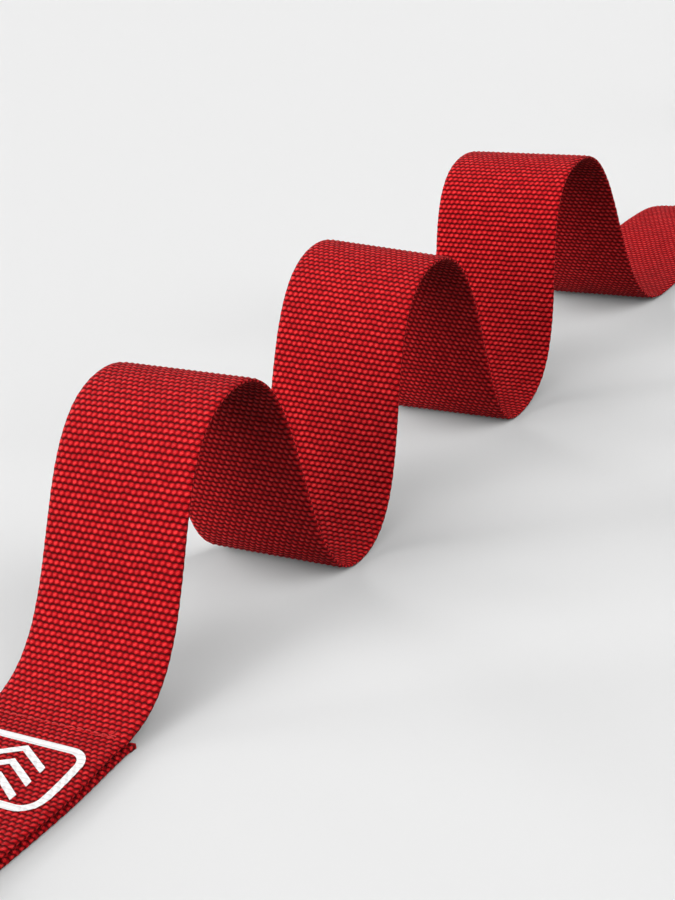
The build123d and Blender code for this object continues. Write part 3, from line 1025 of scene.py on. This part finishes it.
@dataclass
class Buckle:
    """The toothed cam buckle: frame, bars, lever and springs."""

    edge_radius: dict[str, float] = field(
        default_factory=lambda: {"buckle_frame": 0.3, "anchor_bar": 0.15, "cam_pin": 0.15, "cam_lever": 0.22}
    )
    bodies: dict[str, str] = field(
        default_factory=lambda: {
            "buckle_frame": "buckle", "anchor_bar": "buckle", "cam_pin": "buckle", "cam_lever": "cam",
        }
    )
    finishes: dict[str, Finish] = field(
        default_factory=lambda: {
            "buckle_frame": Finish.NICKEL, "anchor_bar": Finish.STEEL,
            "cam_pin": Finish.STEEL, "cam_lever": Finish.NICKEL,
        }
    )
    weld: float = 0.002
    flat_angle: float = 0.5
    corner_angle: float = 35.0
    wire: float = 0.86
    turns: int = 4
    steps_per_turn: int = 20
    coil_radius: float = 2.8
    upper_slope: float = 11.0
    lower_slope: float = 38.0
    upper_leg: tuple[float, ...] = (13.6, 9.0, 5.0, 2.2, 0.8)
    lower_leg: tuple[float, ...] = (0.8, 3.0, 6.0, 8.4)

    def soften(self, node: bpy.types.Object, name: str, wardrobe: Wardrobe) -> bpy.types.Object:
        """Copies a CAD part as one skin with small rounded edges.

        Args:
            node: the CAD part.
            name: its name.
            wardrobe: the materials.

        Returns:
            The new piece.
        """
        bm = bmesh.new()
        bm.from_mesh(node.data)
        bmesh.ops.remove_doubles(bm, verts=bm.verts, dist=self.weld * MM)
        flat = math.radians(self.flat_angle)
        bmesh.ops.dissolve_limit(bm, angle_limit=flat, verts=bm.verts, edges=bm.edges)
        piece = mesh_object(name + "_finished", bm)
        soft = piece.modifiers.new("soft_edges", "BEVEL")
        soft.width = self.edge_radius[name] * MM
        soft.segments = 3
        soft.limit_method = "ANGLE"
        soft.angle_limit = math.radians(self.corner_angle)
        soft.harden_normals = True
        piece.data.set_sharp_from_angle(angle=math.radians(self.corner_angle))
        wardrobe.dress(piece, self.finishes[name])
        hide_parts(name)
        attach(piece, self.bodies[name])
        LOG.info("%s: %d faces before its edges are rounded", name, len(piece.data.polygons))
        return piece

    def spring(self, name: str, side: int, wardrobe: Wardrobe) -> bpy.types.Object:
        """Winds one torsion spring in the space that its CAD node holds.

        Args:
            name: the CAD node's name.
            side: 1 for the left spring and -1 for the right one.
            wardrobe: the materials.

        Returns:
            The wound spring.
        """
        low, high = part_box(name)
        pin_low, pin_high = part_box("cam_pin")
        centre = (pin_low + pin_high) / 2
        inner = min(abs(low.y), abs(high.y)) + self.wire / 2 * MM
        outer = max(abs(low.y), abs(high.y)) - self.wire / 2 * MM
        radius = self.coil_radius * MM
        slope_up, slope_down = math.radians(self.upper_slope), math.radians(self.lower_slope)
        first = math.pi / 2 - slope_up
        last = -math.pi / 2 - slope_down
        turn_span = 2 * math.pi * self.turns - (first - last) + 2 * math.pi
        leg = Vector((-math.cos(slope_up), 0, math.sin(slope_up)))
        outward = Vector((math.sin(slope_up), 0, math.cos(slope_up)))
        start = centre + outward * radius + Vector((0, side * inner, 0))
        path = [start + leg * reach * MM for reach in self.upper_leg]
        total = self.turns * self.steps_per_turn
        for step in range(total + 1):
            share = step / total
            angle = first - turn_span * share
            y = side * (inner + (outer - inner) * share)
            path.append(Vector((centre.x + radius * math.cos(angle), y, centre.z + radius * math.sin(angle))))
        end = path[-1]
        way = Vector((math.cos(slope_down), 0, -math.sin(slope_down)))
        path += [end + way * reach * MM for reach in self.lower_leg]
        bm = bmesh.new()
        sweep(bm, path, self.wire / 2 * MM, 10)
        bmesh.ops.recalc_face_normals(bm, faces=bm.faces)
        piece = mesh_object(name + "_wound", bm)
        wardrobe.dress(piece, Finish.SPRING)
        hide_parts(name)
        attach(piece, "cam")
        LOG.info("%s: %d turns", name, self.turns)
        return piece

    def build(self, nodes: dict[str, bpy.types.Object], wardrobe: Wardrobe) -> None:
        """Finishes every part of the buckle.

        Args:
            nodes: the CAD parts by name.
            wardrobe: the materials.
        """
        for name in self.edge_radius:
            self.soften(nodes[name], name, wardrobe)
        self.spring("cam_spring_left", 1, wardrobe)
        self.spring("cam_spring_right", -1, wardrobe)


@dataclass
class Studio:
    """Pale floor, soft light and the camera."""

    floor_size: float = 9.0
    floor_middle: float = 0.4
    floor_drop: float = 0.0001
    floor_colour: Colour = (0.785, 0.785, 0.785)
    floor_bounce: Colour = (0.16, 0.16, 0.16)
    camera_place: Triple = (-0.31624, -0.31237, 0.26469)
    camera_way: Triple = (0.76316, 0.50876, -0.39843)
    camera_roll: float = -6.76
    lens: float = 72.13
    sensor: float = 36.0
    # Each key's azimuth, height and strength
    keys: tuple[Triple, ...] = (
        (150.0, 10.0, 1.82), (150.0, 25.0, 1.44), (180.0, 45.0, 0.88),
        (270.0, 10.0, 1.32), (270.0, 45.0, 1.49), (90.0, 10.0, 2.50),
    )
    key_softness: float = 50.0
    key_distance: float = 2.0
    room: Colour = (0.86, 0.86, 0.86)

    def floor(self) -> None:
        """Lays the floor just under the belt."""
        bm = bmesh.new()
        bmesh.ops.create_grid(bm, x_segments=12, y_segments=12, size=self.floor_size / 2)
        bmesh.ops.translate(bm, vec=(self.floor_middle, 0, -self.floor_drop), verts=bm.verts)
        piece = mesh_object("floor", bm)
        made, shader, surface = new_material("pale_floor")
        spread = shader.node("LightPath").outputs["Is Diffuse Ray"]
        shader.feed(surface.inputs["Base Color"], shader.mix(spread, self.floor_colour, self.floor_bounce))
        surface.inputs["Roughness"].default_value = 1.0
        surface.inputs["Specular IOR Level"].default_value = 0.0
        piece.data.materials.append(made)

    def lights(self) -> None:
        """Sets the soft key lights and the even light of the room."""
        for number, (azimuth, height, strength) in enumerate(self.keys):
            data = bpy.data.lights.new(f"soft_key_{number}", "SUN")
            data.energy = strength
            data.angle = math.radians(self.key_softness)
            lamp = bpy.data.objects.new(f"soft_key_{number}", data)
            turn, rise = math.radians(azimuth), math.radians(height)
            level = math.cos(rise)
            source = Vector((math.cos(turn) * level, math.sin(turn) * level, math.sin(rise)))
            lamp.rotation_mode = "QUATERNION"
            lamp.rotation_quaternion = source.to_track_quat("Z", "Y")
            lamp.location = source * self.key_distance
            bpy.context.scene.collection.objects.link(lamp)
        world = bpy.data.worlds.new("studio_air")
        world.use_nodes = True
        shader = Shader(world.node_tree)
        background = world.node_tree.nodes["Background"]
        shader.feed(background.inputs["Color"], self.room)
        spread = shader.node("LightPath").outputs["Is Diffuse Ray"]
        shader.feed(background.inputs["Strength"], shader.math("SUBTRACT", 1.0, spread))
        bpy.context.scene.world = world

    def camera(self) -> None:
        """Places the camera."""
        data = bpy.data.cameras.new("camera")
        data.lens = self.lens
        data.sensor_width = self.sensor
        data.clip_start, data.clip_end = 0.01, 50.0
        camera = bpy.data.objects.new("camera", data)
        way = Vector(self.camera_way).normalized()
        level_right = way.cross(Vector((0, 0, 1))).normalized()
        level_up = level_right.cross(way)
        roll = math.radians(self.camera_roll)
        right = level_right * math.cos(roll) + level_up * math.sin(roll)
        up = right.cross(way)
        turned = Matrix((right, up, -way)).transposed().to_4x4()
        camera.matrix_world = Matrix.Translation(Vector(self.camera_place)) @ turned
        bpy.context.scene.collection.objects.link(camera)
        bpy.context.scene.camera = camera

    def build(self) -> None:
        """Makes the floor, the lights and the camera."""
        self.floor()
        self.lights()
        self.camera()
        bpy.context.scene.view_settings.view_transform = "Standard"


def main() -> None:
    """Builds the belt piece by piece."""
    logging.basicConfig(level=logging.INFO, format="%(name)s: %(message)s")
    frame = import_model()
    wardrobe = Wardrobe()
    strap = Webbing()
    webbing = strap.build(wardrobe)
    end_x, loop_x = strap.seam_places
    end_seam = Seam("end_seam_stitches", "end_seam", end_x, slope=-0.02, tails=True).build(strap, wardrobe)
    loop_seam = Seam("loop_seam_stitches", "loop_seam", loop_x, seed=9).build(strap, wardrobe)
    mark = PrintedMark().build(strap, wardrobe)
    tip = BeltTip().build(wardrobe)
    Buckle().build(frame["nodes"], wardrobe)
    Studio().build()


if __name__ == "__main__":
    main()
